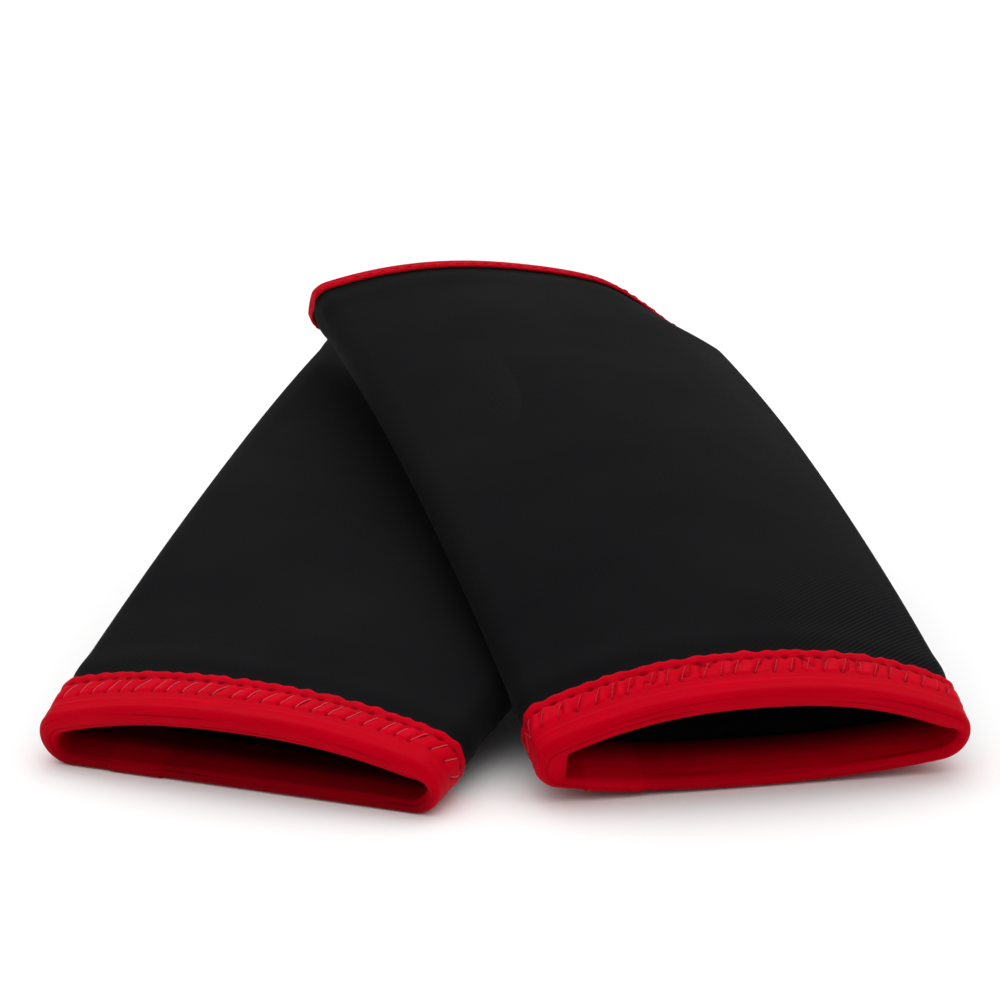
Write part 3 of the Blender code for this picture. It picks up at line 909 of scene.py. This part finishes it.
# ---- putting a pad together ----
def build_pad(side, finishes):
    """Every visual piece of one pad."""
    sleeve = Sleeve(side, PADS[side])
    skin = jersey(side, sleeve.girth)
    face = laminate(side + "_jersey_face", sleeve, FACE, ROUND_FACE, 200, 40, skin, face_relief)
    fit(face, side, "face_fabric")
    core = laminate(side + "_foam_wall", sleeve, CORE, ROUND_HIDDEN, 90, 60, finishes["foam"])
    fit(core, side, "foam_core")
    inside = laminate(side + "_lining", sleeve, LINING, ROUND_HIDDEN, 90, 90, finishes["lining"])
    fit(inside, side, "lining_fabric")
    pad = cushion(side + "_cushion", sleeve, finishes["cushion"])
    fit(pad, side, "elbow_cushion")
    fit(pocket(side + "_cushion_cover", sleeve, finishes["lining"]), side, "cushion_pocket")
    fit(seam_stitches(side + "_seam_stitches", sleeve, finishes["black_thread"]), side,
        "seam_thread")
    fit(strip(side + "_inner_tape", sleeve, finishes["lining"]), side, "seam_tape")
    for number, end in enumerate(BINDINGS):
        seed = 100 * (number + 1) + (7 if side == "top" else 3)
        tape = binding(f"{side}_{end}_tape", sleeve, end, seed, finishes["tape"])
        fit(tape, side, end + "_binding")
        stitches = binding_stitches(f"{side}_{end}_stitches", sleeve, end, seed,
                                    finishes[side + "_thread"])
        fit(stitches, side, end + "_thread")


# ---- the studio ----
CAMERA_PLACE = (-0.0006, -0.6451, 0.211)
CAMERA_PITCH = 14.34
CAMERA_LENS = 80.0
SKY_LOW = 0.08
SKY_GAIN = 1.74
SKY_CURVE = 1.5
OVERHEAD_PLACE = (0.0, -0.2, 1.3)
OVERHEAD_SIZE = 1.6
OVERHEAD_POWER = 1.5
FLOOR_RADIUS = 12.0
FLOOR_COLOUR = (0.97, 0.965, 0.965, 1.0)


def camera():
    """A long lens, low in front of the forearm ends."""
    data = bpy.data.cameras.new("camera")
    data.lens = CAMERA_LENS
    made = bpy.data.objects.new("camera", data)
    made.location = CAMERA_PLACE
    made.rotation_euler = (math.radians(90.0 - CAMERA_PITCH), 0.0, 0.0)
    bpy.context.scene.collection.objects.link(made)
    bpy.context.scene.camera = made


def soft_light(name, place, aim, size, power):
    """Round area light that faces a point."""
    data = bpy.data.lights.new(name, "AREA")
    data.shape = "DISK"
    data.size = size
    data.energy = power
    made = bpy.data.objects.new(name, data)
    made.location = place
    made.rotation_euler = (Vector(aim) - Vector(place)).to_track_quat("-Z", "Y").to_euler()
    bpy.context.scene.collection.objects.link(made)


def sky():
    """White backdrop, and light that comes mostly from above."""
    world = bpy.data.worlds.new("studio")
    world.use_nodes = True
    tree = world.node_tree
    tree.nodes.clear()
    nodes = {kind: tree.nodes.new("ShaderNode" + kind)
             for kind in ("TexCoord", "SeparateXYZ", "LightPath", "MixShader", "OutputWorld")}
    tree.links.new(nodes["TexCoord"].outputs["Generated"], nodes["SeparateXYZ"].inputs[0])
    value = nodes["SeparateXYZ"].outputs["Z"]
    for operation, numbers in (("MAXIMUM", (0.0,)), ("POWER", (SKY_CURVE,)),
                               ("MULTIPLY_ADD", (SKY_GAIN, SKY_LOW))):
        step = tree.nodes.new("ShaderNodeMath")
        step.operation = operation
        tree.links.new(value, step.inputs[0])
        for i, number in enumerate(numbers):
            step.inputs[i + 1].default_value = number
        value = step.outputs[0]
    glow, backdrop = (tree.nodes.new("ShaderNodeBackground") for _ in range(2))
    for background in (glow, backdrop):
        background.inputs["Color"].default_value = (1.0, 1.0, 1.0, 1.0)
    tree.links.new(value, glow.inputs["Strength"])
    tree.links.new(nodes["LightPath"].outputs["Is Camera Ray"], nodes["MixShader"].inputs[0])
    tree.links.new(glow.outputs[0], nodes["MixShader"].inputs[1])
    tree.links.new(backdrop.outputs[0], nodes["MixShader"].inputs[2])
    tree.links.new(nodes["MixShader"].outputs[0], nodes["OutputWorld"].inputs["Surface"])
    bpy.context.scene.world = world


def studio():
    """White floor, sky and one soft light overhead."""
    bpy.ops.mesh.primitive_circle_add(vertices=96, radius=FLOOR_RADIUS, fill_type="NGON",
                                      location=(0.0, 0.0, -0.1 * MM))
    floor = bpy.context.object
    floor.name = "floor"
    paper = bpy.data.materials.new("white_paper")
    paper.use_nodes = True
    shader = paper.node_tree.nodes["Principled BSDF"]
    shader.inputs["Base Color"].default_value = FLOOR_COLOUR
    shader.inputs["Roughness"].default_value = 0.9
    shader.inputs["Specular IOR Level"].default_value = 0.1
    floor.data.materials.append(paper)
    sky()
    bpy.context.scene.view_settings.view_transform = "Standard"
    soft_light("overhead", OVERHEAD_PLACE, (0.0, 0.0, 0.0), OVERHEAD_SIZE, OVERHEAD_POWER)


def main():
    camera()
    studio()
    finishes = {
        "foam": foam("black_foam_rubber", (0.012, 0.012, 0.012), (0.022, 0.022, 0.022)),
        "cushion": foam("grey_cushion_foam", (0.09, 0.09, 0.10), (0.15, 0.15, 0.16)),
        "lining": lining_cloth(),
        "tape": red_tape(),
        # painted highlight: the bottom pad's thread is a paler, pinker red than the top pad's, for
        # the light its stitches catch
        "bottom_thread": thread("red_thread_painted_highlight", (0.78, 0.08, 0.11), (0.56, 0.02, 0.04), 0.5),
        "top_thread": thread("red_thread", (0.56, 0.006, 0.018), (0.40, 0.0, 0.010), 0.6),
        "black_thread": thread("black_thread", (0.035, 0.035, 0.038), (0.012, 0.012, 0.014), 0.5),
    }
    for side in PADS:
        build_pad(side, finishes)


main()
